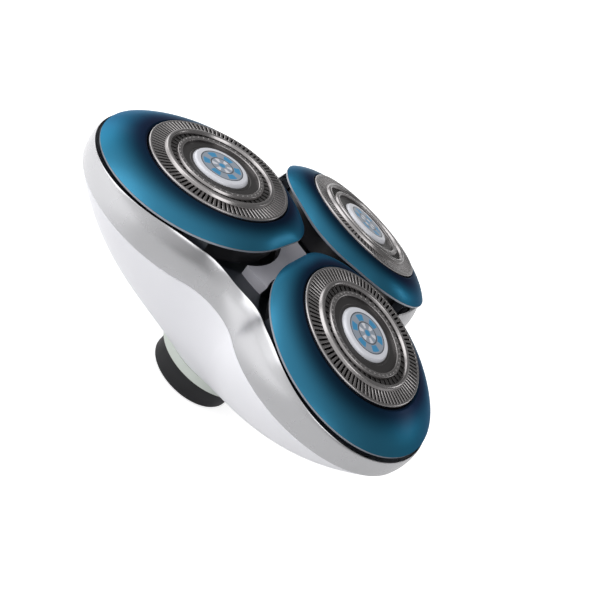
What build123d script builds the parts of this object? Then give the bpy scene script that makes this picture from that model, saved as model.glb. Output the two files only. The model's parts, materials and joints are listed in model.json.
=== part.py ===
from build123d import *
from math import acos, cos, pi, radians, sin, sqrt, tan
import os

# Rotary shaver head: a three-lobed unit that clicks onto the handle of a rotary shaver.
# A cone-like lower shell carries a rim band and an inner frame. In the frame hang three
# round shaving heads, each a holder with a domed ring, a slotted guard cap and a spinning
# cutter. A central gear, turned through the coupling collar, drives the three cutters.
# Millimetres. The origin is the centre of the collar's end face, and +Z points out
# through the heads.

# Layout of the three heads
HEAD_ANGLES = {1: 210, 2: 330, 3: 90}   # directions of the heads round the unit axis
HEAD_TILT = 9.6                         # each head leans outwards by this angle
LOBE_STEP = 120                         # angle from one lobe to the next
SEAM_HEIGHT = 22.1                      # seam between lower shell and rim band
CAP_RISE = 9.6                          # cap plane above the seam, on the unit axis
RING_GAP = 0.28                         # between two neighbouring domed rings

# Guard cap, in its head's frame: zero height is the edge of the cap
CAP_RADIUS = 11.0
CAP_WALL = 0.32
CAP_DEPTH = 2.4                         # height of the cap's skirt
CAP_FLANGE = 0.45                       # step at the foot of the skirt, and its width
CAP_EDGE = 0.28                         # bevel between track and skirt
OUTER_TRACK = 2.07                      # width of the slotted outer track
RIDGE_WIDTH = 0.8
RIDGE_HEIGHT = 0.5
INNER_TRACK = 0.95                      # width of the slotted inner track
DOT_RING_WIDTH = 0.8
DOT_RING_HEIGHT = 0.4
STEP_SLOPE = 0.1                        # lean of the ridge's and the dotted ring's sides
SLOT_COUNT = 72
SLOT_WIDTH = 0.34
INNER_SLOT_COUNT = 36
INNER_SLOT_WIDTH = 0.4
SLOT_LAND = 0.15                        # metal left at each end of a slot

# Disc at the middle of each cap
DISC_SHARE = 0.715                      # disc's radius, as a share of the dotted ring's
DISC_TOP = 0.73
DISC_BOSS_RADIUS = 2.0
DISC_BOSS_DEPTH = 0.6
DISC_EDGE = 0.2

# Holder, domed ring and their pivots
CAP_PLAY = 0.15                         # running gap round the cap
CAP_TRAVEL = 1.0                        # how far a cap presses in
FLANGE_PLAY = 0.05                      # cap's flange to the lip that holds it down
HOLDER_WALL = 0.85
HOLDER_TOP = -1.3
HOLDER_DEPTH = 6.6
RING_WIDTH = 4.35                       # domed ring, from the cap's bore to its foot
RING_SHIFT = 1.7                        # its large end is moved outwards by this
RING_NARROWING = 7.5                    # its small end is rounder by this radius
RING_TRIM = 0.3                         # its small end reaches less far by this
RING_FOOT = -3.1                        # height of the ring's lower edge
RING_BAND = 0.4                         # upright band at the lower edge
RING_TOP = -0.35                        # height of its upper edge, round the cap
RING_EDGE = 0.25                        # width of the upper edge, at its large end
RING_EDGE_SHIFT = 0.1
RING_EDGE_NARROWING = 0.55
RING_EDGE_INNER_SHIFT = -0.6
RING_SLOPE = 0.7                        # share of the dome's fall that is a plain cone
RING_WALL = 1.3
RING_HOLLOW = 0.6                       # depth of the hollow under its edge
PIVOT_DEPTH = 5.16                      # pivots and spindle ends below the cap plane
PIVOT_RADIUS = 1.1
PIVOT_LENGTH = 1.4
PIVOT_PLAY = 0.06
HEAD_TILT_PLAY = 1.0                    # room round the holder for its tilting

# Retaining frame under each cutter
RETAINER_TOP = -5.0
RETAINER_THICK = 1.0
RETAINER_RING = 1.6
RETAINER_SPOKES = 3
SPOKE_WIDTH = 1.6
BEARING_PLAY = 0.08
BEARING_WALL = 0.9

# Cutter
CUTTER_GAP = 0.17                       # blade tips to the inside of the cap
CUTTER_PLAY = 0.38                      # blade ends to the cap's skirt
CUTTER_PLATE = 0.5
CUTTER_PLATE_TOP = -2.6
CUTTER_RING = 1.8                       # width of the ring round the hub
BLADE_COUNT = 9
BLADE_THICK = 0.4
BLADE_LEAN = 25
BLADE_PLAY = 0.12                       # blade ends to the edges of their track
ARM_WIDTH = 1.8                         # arm that carries an outer and an inner blade
HUB_BOSS = 2.75
HUB_RADIUS = 2.6
HUB_TOP = -1.4
HUB_FLANGE = 3.6
HUB_FLANGE_THICK = 0.6
HUB_DEPTH = 6.4
SOCKET_FLATS = 2.8                      # six-sided drive socket, across flats
SOCKET_ROOF = 0.27

# Gears
CENTRAL_TEETH = 25
DRIVE_TEETH = 18
PRESSURE_ANGLE = 20
BACKLASH = 0.14
ADDENDUM = 0.85                         # in modules
DEDENDUM = 1.2                          # in modules
GEAR_DROP = 4.0                         # gears' underside below the frame's floor
GEAR_WIDTH = 2.2
GEAR_HUB_RADIUS = 2.6
GEAR_HUB_GAP = 0.4                      # top of a drive gear's hub below the frame's floor
GEAR_PIN_RADIUS = 1.0
GEAR_PIN_PLAY = 0.05
GEAR_PIN_REACH = 0.4                    # pin's end above the teeth
CENTRAL_HUB_RADIUS = 3.0
CENTRAL_HUB_RISE = 0.3                  # hub's end above the bottom of the collar's bore
CENTRAL_STUB_RADIUS = 1.5
CENTRAL_STUB_GAP = 0.4                  # stub's end below the top of the frame's floor
CENTRAL_SOCKET_FLATS = 3.4
CENTRAL_SOCKET_DEPTH = 3.7

# Drive spindles
SPINDLE_FOOT = 0.8
SPINDLE_CONE = 2.4                      # height of the cone above the foot
SPINDLE_WAIST = 0.7
SPINDLE_BALL = 1.3
SPINDLE_FLATS = 2.2
SPINDLE_TENON = 0.8
SPINDLE_TENON_DEPTH = 0.6

# Lower shell and rim band
SHELL_WALL = 1.4
SHELL_FLOOR = 1.8
NECK_HEIGHT = 5.6
NECK_WALL = 0.4                         # neck's lobes outside the collar
NECK_LOBE = 0.9
NECK_WAIST = 0.7
SHELL_SHARES = [                        # shares of the way from neck to seam, for the
    (0.311, 0.116),                     # lobe centres and radii of the sections between
    (0.593, 0.419),
    (0.808, 0.791),
]
SHELL_BELLY = (2.0, 3.6)                # section above the gear plate's underside, and its
                                        # waist outside the screw heads
SHELL_CONE = (1.8, 0.6)                 # section below the screw heads, likewise
SHELL_FLARE = (0.441, 0.46)             # section over the neck: shares of the way to the cone
SEAM_CENTRE = 0.4                       # lobe centres at the seam inside the rim's
SEAM_RADIUS = 0.4                       # lobes at the seam rounder than the rim's
SEAM_WAIST = 0.6                        # waists at the seam outside the rim's
RIM_HEIGHT = 4.3
RIM_WALL = 1.0
RIM_REACH = 0.94                        # rim's lobe centres outside the head axes
RIM_GAP = 0.3                           # rim's lobes outside the domed rings
RIM_WAIST_REACH = 0.74
RIM_BULGE = 0.3
RIM_DROP = 0.8                          # rim edge below the foot of the domed rings

# Inner frame and bridge
FRAME_PLAY = 0.05
FRAME_SINK = 1.5                        # underside of the frame below the seam
FRAME_FLOOR = 1.0
FRAME_RISE = 3.6                        # top of the frame above the seam
FRAME_FOOT_GAP = 0.3                    # frame's sunk plate to the shell's inside
FRAME_DROP = 0.2                        # frame's edge below the rim's
POST_HALF = 1.8                         # half the width of a pivot post
POST_TOP = 1.7                          # top of a pivot post above the pivot
POST_THICK = 1.4
POST_GAP = 0.3
BRIDGE_THICK = 1.5
BRIDGE_SHORT = 4.2                      # arm ends inside the rim's waists
BRIDGE_GAP = 0.2                        # bridge edge back from the wells

# Gear plate and screws
PLATE_DROP = 1.6                        # underside of the plate below the gears
PLATE_THICK = 1.0
PLATE_LOBE = 5.2                        # plate's lobe centres inside the drive gears' axes
PLATE_MARGIN = 1.7                      # plate's edge outside the drive gears' hubs
PLATE_EDGE = 0.3                        # plate's edge outside the screw heads
PLATE_BORE_PLAY = 0.4
SCREW_RADIUS = 0.8
SCREW_PLAY = 0.1
SCREW_LENGTH = 4.0
SCREW_HEAD_RADIUS = 1.3
SCREW_HEAD = 0.8
SCREW_SLOT = 0.4
SCREW_POST_RADIUS = 1.4
SCREW_POST_GAP = 0.62                   # screw posts to the tips of the central gear

# Coupling collar, neck ring and seal
COLLAR_RADIUS = 7.2
COLLAR_WALL = 2.0
COLLAR_STEP = 0.2                       # collar is thinner by this from the neck ring up
COLLAR_BORE_DEPTH = 6.0
COLLAR_FLOOR = 1.4
COLLAR_LEDGE = 0.8                      # flange outside the collar
COLLAR_FLANGE_THICK = 1.1
COLLAR_EDGE = 0.4
COLLAR_PLAY = 0.05
HUB_PLAY = 0.05
SEAL_HEIGHT = 0.9
NECK_RING_WALL = 1.15                   # neck ring outside the collar
NECK_RING_HEIGHT = 1.6

# Values that follow from the sizes above
TILT = radians(HEAD_TILT)
OUTER_TRACK_IN = CAP_RADIUS - CAP_EDGE - OUTER_TRACK
RIDGE_IN = OUTER_TRACK_IN - RIDGE_WIDTH
GROOVE_IN = RIDGE_IN - INNER_TRACK
DOT_RING_IN = GROOVE_IN - DOT_RING_WIDTH
DISC_RADIUS = DOT_RING_IN * DISC_SHARE
CAP_BORE = CAP_RADIUS + CAP_PLAY
FLANGE_TOP = CAP_FLANGE - CAP_DEPTH
FLANGE_RADIUS = CAP_RADIUS + CAP_FLANGE
HOLDER_BORE = FLANGE_RADIUS + CAP_PLAY
HOLDER_RADIUS = HOLDER_BORE + HOLDER_WALL
WELL_RADIUS = HOLDER_RADIUS + HEAD_TILT_PLAY
CUTTER_RADIUS = CAP_RADIUS - CAP_WALL - CUTTER_PLAY
BLADE_TOP = -CAP_WALL - CUTTER_GAP
RING_OUTER_RADIUS = CAP_BORE + RING_WIDTH
RING_INNER_RADIUS = RING_OUTER_RADIUS - RING_NARROWING
RING_INNER_SHIFT = RING_TRIM - RING_OUTER_RADIUS + RING_INNER_RADIUS
HEAD_OFFSET = (RING_OUTER_RADIUS + RING_GAP / 2) / sin(pi / 3)
CAP_PLANE = SEAM_HEIGHT + CAP_RISE
BALL_HEIGHT = CAP_PLANE - PIVOT_DEPTH * cos(TILT)
FRAME_FLOOR_BOTTOM = SEAM_HEIGHT - FRAME_SINK
FRAME_FLOOR_TOP = FRAME_FLOOR_BOTTOM + FRAME_FLOOR
FRAME_TOP = SEAM_HEIGHT + FRAME_RISE
BRIDGE_TOP = FRAME_TOP + BRIDGE_THICK
GEAR_DISTANCE = HEAD_OFFSET - PIVOT_DEPTH * sin(TILT)
GEAR_MODULE = 2 * GEAR_DISTANCE / (CENTRAL_TEETH + DRIVE_TEETH)
GEAR_BOTTOM = FRAME_FLOOR_BOTTOM - GEAR_DROP
GEAR_TOP = GEAR_BOTTOM + GEAR_WIDTH
GEAR_HUB_TOP = FRAME_FLOOR_BOTTOM - GEAR_HUB_GAP
GEAR_PIN_TOP = GEAR_TOP + GEAR_PIN_REACH
CENTRAL_TIP = GEAR_MODULE * (CENTRAL_TEETH / 2 + ADDENDUM)
CENTRAL_HUB_BOTTOM = COLLAR_BORE_DEPTH + CENTRAL_HUB_RISE
CENTRAL_STUB_TOP = FRAME_FLOOR_TOP - CENTRAL_STUB_GAP
RIM_LOBE_CENTRE = HEAD_OFFSET + RIM_REACH
RIM_LOBE_RADIUS = RING_OUTER_RADIUS + RIM_GAP
RIM_WAIST = HEAD_OFFSET + RIM_WAIST_REACH
RIM_INNER_RADIUS = RIM_LOBE_RADIUS - RIM_WALL
RIM_INNER_WAIST = RIM_WAIST - RIM_WALL
BRIDGE_REACH = RIM_INNER_WAIST - BRIDGE_SHORT
COLLAR_BORE = COLLAR_RADIUS - COLLAR_WALL
COLLAR_SHANK = COLLAR_RADIUS - COLLAR_STEP
COLLAR_SEAT = COLLAR_SHANK + COLLAR_PLAY
COLLAR_FLANGE = COLLAR_RADIUS + COLLAR_LEDGE
COLLAR_FLANGE_BOTTOM = NECK_HEIGHT + SHELL_FLOOR + SEAL_HEIGHT
COLLAR_TOP = COLLAR_FLANGE_BOTTOM + COLLAR_FLANGE_THICK
NECK_RADIUS = COLLAR_RADIUS + NECK_WALL
NECK_RING_BOTTOM = NECK_HEIGHT - NECK_RING_HEIGHT
SCREW_CIRCLE = CENTRAL_TIP + SCREW_POST_GAP + SCREW_POST_RADIUS
PLATE_BOTTOM = GEAR_BOTTOM - PLATE_DROP
PLATE_TOP = PLATE_BOTTOM + PLATE_THICK
NECK_SECTION = (NECK_LOBE, NECK_RADIUS, NECK_RADIUS + NECK_WAIST, NECK_HEIGHT)
SEAM_SECTION = (
    RIM_LOBE_CENTRE - SEAM_CENTRE, RIM_LOBE_RADIUS + SEAM_RADIUS, RIM_WAIST + SEAM_WAIST, SEAM_HEIGHT,
)
FAR = 60                                # larger than any piece, for cutting tools


def blend(start, end, share):
    """Value at a share of the way from start to end."""
    return start + (end - start) * share


def shell_section(shares, waist, height):
    """Section between the neck and the seam, with a waist and height of its own."""
    centre, radius = (blend(NECK_SECTION[k], SEAM_SECTION[k], shares[k]) for k in (0, 1))
    return centre, radius, waist, height


# Sections of the shell's outside, from the neck to the seam: lobe centre, lobe radius,
# waist and height. The waists keep clear of the gear plate's screws.
SCREW_REACH = SCREW_CIRCLE + SCREW_HEAD_RADIUS
CONE_HEIGHT = PLATE_BOTTOM - SCREW_HEAD - SHELL_CONE[0]
CONE_WAIST = SCREW_REACH + SHELL_CONE[1]
SHELL_SECTIONS = [
    NECK_SECTION,
    shell_section(
        SHELL_SHARES[0], blend(NECK_SECTION[2], CONE_WAIST, SHELL_FLARE[1]),
        blend(NECK_HEIGHT, CONE_HEIGHT, SHELL_FLARE[0]),
    ),
    shell_section(SHELL_SHARES[1], CONE_WAIST, CONE_HEIGHT),
    shell_section(SHELL_SHARES[2], SCREW_REACH + SHELL_BELLY[1], PLATE_BOTTOM + SHELL_BELLY[0]),
    SEAM_SECTION,
]


def head_place(angle):
    """Frame of one head: x outwards, y round the unit, z along the head's own axis."""
    a = radians(angle)
    return Plane(
        origin=(HEAD_OFFSET * cos(a), HEAD_OFFSET * sin(a), CAP_PLANE),
        x_dir=(cos(TILT) * cos(a), cos(TILT) * sin(a), -sin(TILT)),
        z_dir=(sin(TILT) * cos(a), sin(TILT) * sin(a), cos(TILT)),
    ).location


def turned(*profile):
    """Solid of revolution about Z from a closed profile of (radius, height) points."""
    face = make_face(Polyline(*profile, close=True).edges())
    return revolve(Plane.XZ * face, Axis.Z)


def disc(radius, bottom, top):
    """Upright cylinder between two heights."""
    return Pos(0, 0, bottom) * extrude(Circle(radius), top - bottom)


def tube(inner, outer, bottom, top):
    """Upright tube between two heights."""
    return Pos(0, 0, bottom) * extrude(Circle(outer) - Circle(inner), top - bottom)


def hexagon_bar(flats, bottom, top):
    """Six-sided bar between two heights."""
    return Pos(0, 0, bottom) * extrude(RegularPolygon(flats / 2, 6, major_radius=False), top - bottom)


def lobed_face(centre, radius, waist, height):
    """Face of three lobe arcs, joined by three waist arcs that are tangent to them."""
    across, along = centre * sin(pi / 3), centre * cos(pi / 3)
    depth = waist - along
    bend = (across**2 + depth**2 - radius**2) / (2 * (radius - depth))
    at = lambda distance, angle: Vector(distance * cos(radians(angle)), distance * sin(radians(angle)))
    edges = []
    for lobe in HEAD_ANGLES.values():
        before, after = lobe - LOBE_STEP / 2, lobe + LOBE_STEP / 2
        start, end = (
            at(waist + bend, side) + (at(centre, lobe) - at(waist + bend, side)).normalized() * abs(bend)
            for side in (before, after)
        )
        following = at(waist + bend, after) + (
            at(centre, lobe + LOBE_STEP) - at(waist + bend, after)
        ).normalized() * abs(bend)
        edges.append(ThreePointArc(start, at(centre + radius, lobe), end).edge())
        edges.append(ThreePointArc(end, at(waist, after), following).edge())
    return Pos(0, 0, height) * make_face(edges)


def lobed_plate(centre, radius, waist, bottom, top):
    """Flat plate with a lobed outline."""
    return extrude(lobed_face(centre, radius, waist, bottom), top - bottom)


def egg_face(large, large_shift, small, small_shift, height):
    """Face round two circles on the x axis, joined by their common tangents."""
    lean = (large - small) / (large_shift - small_shift)
    normal = Vector(-lean, sqrt(1 - lean**2))
    mirror_normal = Vector(normal.X, -normal.Y)
    far, near = Vector(large_shift, 0), Vector(small_shift, 0)
    edges = [
        ThreePointArc(far + mirror_normal * large, far + Vector(large, 0), far + normal * large).edge(),
        Line(far + normal * large, near + normal * small).edge(),
        ThreePointArc(near + normal * small, near - Vector(small, 0), near + mirror_normal * small).edge(),
        Line(near + mirror_normal * small, far + mirror_normal * large).edge(),
    ]
    return Pos(0, 0, height) * make_face(edges)


def ring_section(share, height, inset=0.0):
    """Outline of the domed ring, from its foot (share 0) to the cap's bore (share 1)."""
    edge = CAP_BORE + RING_EDGE
    return egg_face(
        blend(RING_OUTER_RADIUS, edge, share) - inset,
        blend(RING_SHIFT, RING_EDGE_SHIFT, share),
        blend(RING_INNER_RADIUS, edge - RING_EDGE_NARROWING, share) - inset,
        blend(RING_INNER_SHIFT, RING_EDGE_INNER_SHIFT, share),
        height,
    )


def domed_ring():
    """Blue ring: an upright band, then a dome that falls away from the cap's bore."""
    dome_foot = RING_FOOT + RING_BAND
    band = extrude(ring_section(0, RING_FOOT), RING_BAND)
    fall = lambda share: RING_SLOPE * (1 - share) + (1 - RING_SLOPE) * (1 - share) ** 3
    rise = RING_TOP - dome_foot
    shares = (0, 0.15, 0.4, 0.7, 1)
    dome = loft([ring_section(s, RING_TOP - rise * fall(s)) for s in shares])
    hollow = extrude(ring_section(0, RING_FOOT, RING_WALL), RING_HOLLOW)
    ring = band + dome - hollow
    return ring - disc(HOLDER_RADIUS, RING_FOOT, HOLDER_TOP) - disc(CAP_BORE, RING_FOOT, 1)


def holder():
    """Black holder: a tube with an inward lip and two pivots."""
    lip = FLANGE_TOP + FLANGE_PLAY
    body = turned(
        (CAP_BORE, HOLDER_TOP), (HOLDER_RADIUS, HOLDER_TOP), (HOLDER_RADIUS, -HOLDER_DEPTH),
        (HOLDER_BORE, -HOLDER_DEPTH), (HOLDER_BORE, lip), (CAP_BORE, lip),
    )
    reach = HOLDER_RADIUS + PIVOT_LENGTH - HOLDER_WALL / 2
    for side in (1, -1):
        root = Plane(origin=(0, side * (HOLDER_RADIUS - HOLDER_WALL / 2), -PIVOT_DEPTH), z_dir=(0, side, 0))
        body += root * extrude(Circle(PIVOT_RADIUS), reach - HOLDER_RADIUS + HOLDER_WALL / 2)
    return body


def guard_cap():
    """Steel cap with a slotted outer track, a ridge, a slotted groove and a centre hole."""
    top = [
        (DISC_BOSS_RADIUS, 0), (DOT_RING_IN, 0), (DOT_RING_IN + STEP_SLOPE, DOT_RING_HEIGHT),
        (GROOVE_IN - STEP_SLOPE, DOT_RING_HEIGHT), (GROOVE_IN, 0), (RIDGE_IN, 0),
        (RIDGE_IN + STEP_SLOPE, RIDGE_HEIGHT), (OUTER_TRACK_IN - STEP_SLOPE, RIDGE_HEIGHT), (OUTER_TRACK_IN, 0),
        (CAP_RADIUS - CAP_EDGE, 0), (CAP_RADIUS, -CAP_EDGE),
    ]
    body = turned(*top, (CAP_RADIUS, -CAP_DEPTH), (DISC_BOSS_RADIUS, -CAP_DEPTH))
    inside = body & disc(CAP_RADIUS - CAP_WALL, -CAP_DEPTH, RIDGE_HEIGHT)
    flange = tube(CAP_RADIUS - CAP_WALL, FLANGE_RADIUS, -CAP_DEPTH, FLANGE_TOP)
    cap = body - Pos(0, 0, -CAP_WALL) * inside + flange
    tracks = (
        (OUTER_TRACK_IN, CAP_RADIUS - CAP_EDGE, SLOT_WIDTH, SLOT_COUNT),
        (GROOVE_IN, RIDGE_IN, INNER_SLOT_WIDTH, INNER_SLOT_COUNT),
    )
    for inner, outer, width, count in tracks:
        slot = Pos(inner + SLOT_LAND, 0, 0) * Box(
            outer - inner - 2 * SLOT_LAND, width, 3 * CAP_WALL, align=(Align.MIN, Align.CENTER, Align.CENTER)
        )
        cap -= [Rot(0, 0, 360 * k / count) * slot for k in range(count)]
    return cap


def cap_disc():
    """Plastic disc on the cap, with a boss through its centre hole."""
    return turned(
        (0, DISC_TOP), (DISC_RADIUS - DISC_EDGE, DISC_TOP), (DISC_RADIUS, DISC_TOP - DISC_EDGE),
        (DISC_RADIUS, 0), (DISC_BOSS_RADIUS, 0), (DISC_BOSS_RADIUS, -CAP_WALL - DISC_BOSS_DEPTH),
        (0, -CAP_WALL - DISC_BOSS_DEPTH),
    )


def cutter():
    """Steel cutter: a ring with arms, each with leaning blades under both tracks."""
    bottom = CUTTER_PLATE_TOP - CUTTER_PLATE
    body = tube(HUB_BOSS, HUB_BOSS + CUTTER_RING, bottom, CUTTER_PLATE_TOP)
    root = HUB_BOSS + CUTTER_RING / 2
    arm = Pos(root, BLADE_THICK / 2, bottom) * Box(
        CUTTER_RADIUS - root, ARM_WIDTH, CUTTER_PLATE, align=(Align.MIN, Align.CENTER, Align.MIN)
    )
    body += [Rot(0, 0, 360 * k / BLADE_COUNT) * arm for k in range(BLADE_COUNT)]
    tracks = (
        (OUTER_TRACK_IN + BLADE_PLAY, CUTTER_RADIUS),
        (GROOVE_IN + BLADE_PLAY, RIDGE_IN - BLADE_PLAY),
    )
    height = BLADE_TOP - CUTTER_PLATE_TOP + CUTTER_PLATE / 2
    slope = tan(radians(BLADE_LEAN)) * height
    for inner, outer in tracks:
        section = make_face(Polyline(
            (0, 0), (BLADE_THICK, 0), (BLADE_THICK + slope, height), (slope, height), close=True
        ).edges())
        foot = Plane(origin=(inner, 0, CUTTER_PLATE_TOP - CUTTER_PLATE / 2), x_dir=(0, 1, 0), z_dir=(1, 0, 0))
        blade = foot * extrude(section, outer - inner)
        body += [Rot(0, 0, 360 * k / BLADE_COUNT) * blade for k in range(BLADE_COUNT)]
    return body


def cutter_hub():
    """Plastic hub of the cutter, with the six-sided socket for the drive spindle."""
    plate_bottom = CUTTER_PLATE_TOP - CUTTER_PLATE
    body = turned(
        (0, HUB_TOP), (HUB_BOSS, HUB_TOP), (HUB_BOSS, plate_bottom), (HUB_FLANGE, plate_bottom),
        (HUB_FLANGE, plate_bottom - HUB_FLANGE_THICK), (HUB_RADIUS, plate_bottom - HUB_FLANGE_THICK),
        (HUB_RADIUS, -HUB_DEPTH), (0, -HUB_DEPTH),
    )
    roof = -PIVOT_DEPTH + SPINDLE_BALL + CAP_TRAVEL + SOCKET_ROOF
    return body - hexagon_bar(SOCKET_FLATS, -HUB_DEPTH, roof)


def retainer():
    """Plastic frame that holds the cutter up: a ring, three spokes and a bearing."""
    bottom = RETAINER_TOP - RETAINER_THICK
    bearing = HUB_RADIUS + BEARING_PLAY
    body = tube(HOLDER_BORE - RETAINER_RING, HOLDER_BORE, bottom, RETAINER_TOP)
    reach = HOLDER_BORE - RETAINER_RING / 2
    spoke = Pos(0, 0, bottom) * Box(
        reach, SPOKE_WIDTH, RETAINER_THICK, align=(Align.MIN, Align.CENTER, Align.MIN)
    )
    body += [Rot(0, 0, 360 * k / RETAINER_SPOKES) * spoke for k in range(RETAINER_SPOKES)]
    body += disc(bearing + BEARING_WALL, bottom, RETAINER_TOP)
    return body - disc(bearing, bottom, RETAINER_TOP)


def gear_face(teeth, phase):
    """Outline of an involute gear, with one tooth centred at the angle phase."""
    pitch_radius = GEAR_MODULE * teeth / 2
    base_radius = pitch_radius * cos(radians(PRESSURE_ANGLE))
    root = pitch_radius - DEDENDUM * GEAR_MODULE
    tip = pitch_radius + ADDENDUM * GEAR_MODULE
    half_pitch_angle = (pi * GEAR_MODULE / 2 - BACKLASH) / (2 * pitch_radius)
    involute = lambda radius: tan(acos(min(1, base_radius / radius))) - acos(min(1, base_radius / radius))
    half_angle = lambda radius: half_pitch_angle + involute(pitch_radius) - involute(max(radius, base_radius))
    flank = [root, max(base_radius, root + 0.1), pitch_radius, tip]
    points = []
    for k in range(teeth):
        middle = radians(phase) + 2 * pi * k / teeth
        rising = [(r, middle - half_angle(r)) for r in flank]
        falling = [(r, middle + half_angle(r)) for r in reversed(flank)]
        points += [(r * cos(a), r * sin(a)) for r, a in rising + falling]
    return make_face(Polyline(*points, close=True).edges())


def central_gear():
    """Central gear with its long hub, drive socket and top stub."""
    body = Pos(0, 0, GEAR_BOTTOM) * extrude(gear_face(CENTRAL_TEETH, 0), GEAR_WIDTH)
    body += disc(CENTRAL_HUB_RADIUS, CENTRAL_HUB_BOTTOM, GEAR_BOTTOM)
    body += disc(CENTRAL_STUB_RADIUS, GEAR_TOP, CENTRAL_STUB_TOP)
    socket_top = CENTRAL_HUB_BOTTOM + CENTRAL_SOCKET_DEPTH
    return body - hexagon_bar(CENTRAL_SOCKET_FLATS, CENTRAL_HUB_BOTTOM, socket_top)


def drive_phase(angle):
    """Angle of a drive gear's tooth, so that it meshes with the central gear."""
    central_pitch, drive_pitch = 360 / CENTRAL_TEETH, 360 / DRIVE_TEETH
    return angle + 180 + drive_pitch * (angle / central_pitch - 0.5)


def drive_gear(angle):
    """Drive gear with its hub, where it stands."""
    body = Pos(0, 0, GEAR_BOTTOM) * extrude(gear_face(DRIVE_TEETH, drive_phase(angle)), GEAR_WIDTH)
    body += disc(GEAR_HUB_RADIUS, GEAR_TOP, GEAR_HUB_TOP)
    body -= disc(GEAR_PIN_RADIUS + GEAR_PIN_PLAY, GEAR_BOTTOM, GEAR_PIN_TOP + GEAR_PIN_PLAY)
    body -= disc(SPINDLE_TENON, GEAR_HUB_TOP - SPINDLE_TENON_DEPTH, GEAR_HUB_TOP)
    return gear_place(angle) * body


def drive_spindle(angle):
    """Spindle on the drive gear, with a rounded six-sided end in the cutter's socket."""
    body = turned(
        (0, GEAR_HUB_TOP - SPINDLE_TENON_DEPTH), (SPINDLE_TENON, GEAR_HUB_TOP - SPINDLE_TENON_DEPTH),
        (SPINDLE_TENON, GEAR_HUB_TOP), (GEAR_HUB_RADIUS, GEAR_HUB_TOP),
        (GEAR_HUB_RADIUS, GEAR_HUB_TOP + SPINDLE_FOOT), (SPINDLE_WAIST, GEAR_HUB_TOP + SPINDLE_FOOT + SPINDLE_CONE),
        (SPINDLE_WAIST, BALL_HEIGHT), (0, BALL_HEIGHT),
    )
    ball = Pos(0, 0, BALL_HEIGHT) * Sphere(SPINDLE_BALL)
    ball &= hexagon_bar(SPINDLE_FLATS, BALL_HEIGHT - SPINDLE_BALL, BALL_HEIGHT + SPINDLE_BALL)
    return gear_place(angle) * (body + ball)


def gear_place(angle):
    """Place of a drive gear's axis."""
    a = radians(angle)
    return Pos(GEAR_DISTANCE * cos(a), GEAR_DISTANCE * sin(a), 0)


def waist_places(radius):
    """Places at one radius in the three waists of the unit."""
    return [
        Pos(radius * cos(radians(a + LOBE_STEP / 2)), radius * sin(radians(a + LOBE_STEP / 2)), 0)
        for a in HEAD_ANGLES.values()
    ]


def lower_shell():
    """White lower shell: a lobed cone with a floor round the coupling collar."""
    outside = loft([lobed_face(*section) for section in SHELL_SECTIONS])
    floor = NECK_HEIGHT + SHELL_FLOOR
    inner = [
        (c, r - SHELL_WALL, w - SHELL_WALL, max(z, floor)) for c, r, w, z in SHELL_SECTIONS[1:]
    ]
    inside = loft([lobed_face(*section) for section in inner])
    well = disc(COLLAR_FLANGE + COLLAR_PLAY, floor, SHELL_SECTIONS[2][3])
    bore = disc(COLLAR_SEAT, 0, SEAM_HEIGHT)
    return outside - inside - well - bore


def rim_band():
    """Silver rim band, cut back below the foot of each domed ring."""
    top = SEAM_HEIGHT + RIM_HEIGHT
    seam = SHELL_SECTIONS[-1]
    middle = (
        (seam[0] + RIM_LOBE_CENTRE) / 2, (seam[1] + RIM_LOBE_RADIUS) / 2 + RIM_BULGE,
        (seam[2] + RIM_WAIST) / 2 + RIM_BULGE, SEAM_HEIGHT + RIM_HEIGHT / 2,
    )
    outside = loft([
        lobed_face(*seam), lobed_face(*middle),
        lobed_face(RIM_LOBE_CENTRE, RIM_LOBE_RADIUS, RIM_WAIST, top),
    ])
    inside = lobed_plate(RIM_LOBE_CENTRE, RIM_INNER_RADIUS, RIM_INNER_WAIST, SEAM_HEIGHT, top)
    return outside - inside - [above_heads(place, RIM_DROP) for place in head_places()]


def head_places():
    """Frames of the three heads."""
    return [head_place(angle) for angle in HEAD_ANGLES.values()]


def above_heads(place, drop):
    """Space over one head's outer half, from a little under its domed ring upwards."""
    return place * Pos(0, 0, RING_FOOT - drop) * Box(
        FAR, FAR, FAR / 2, align=(Align.MIN, Align.CENTER, Align.MIN)
    )


def well(place):
    """Room for one holder and its tilting, down to the frame's floor."""
    hole = place * disc(WELL_RADIUS, -FAR / 2, FAR / 4)
    return hole & Pos(0, 0, FRAME_FLOOR_TOP) * Box(
        2 * FAR, 2 * FAR, FAR, align=(Align.CENTER, Align.CENTER, Align.MIN)
    )


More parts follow.
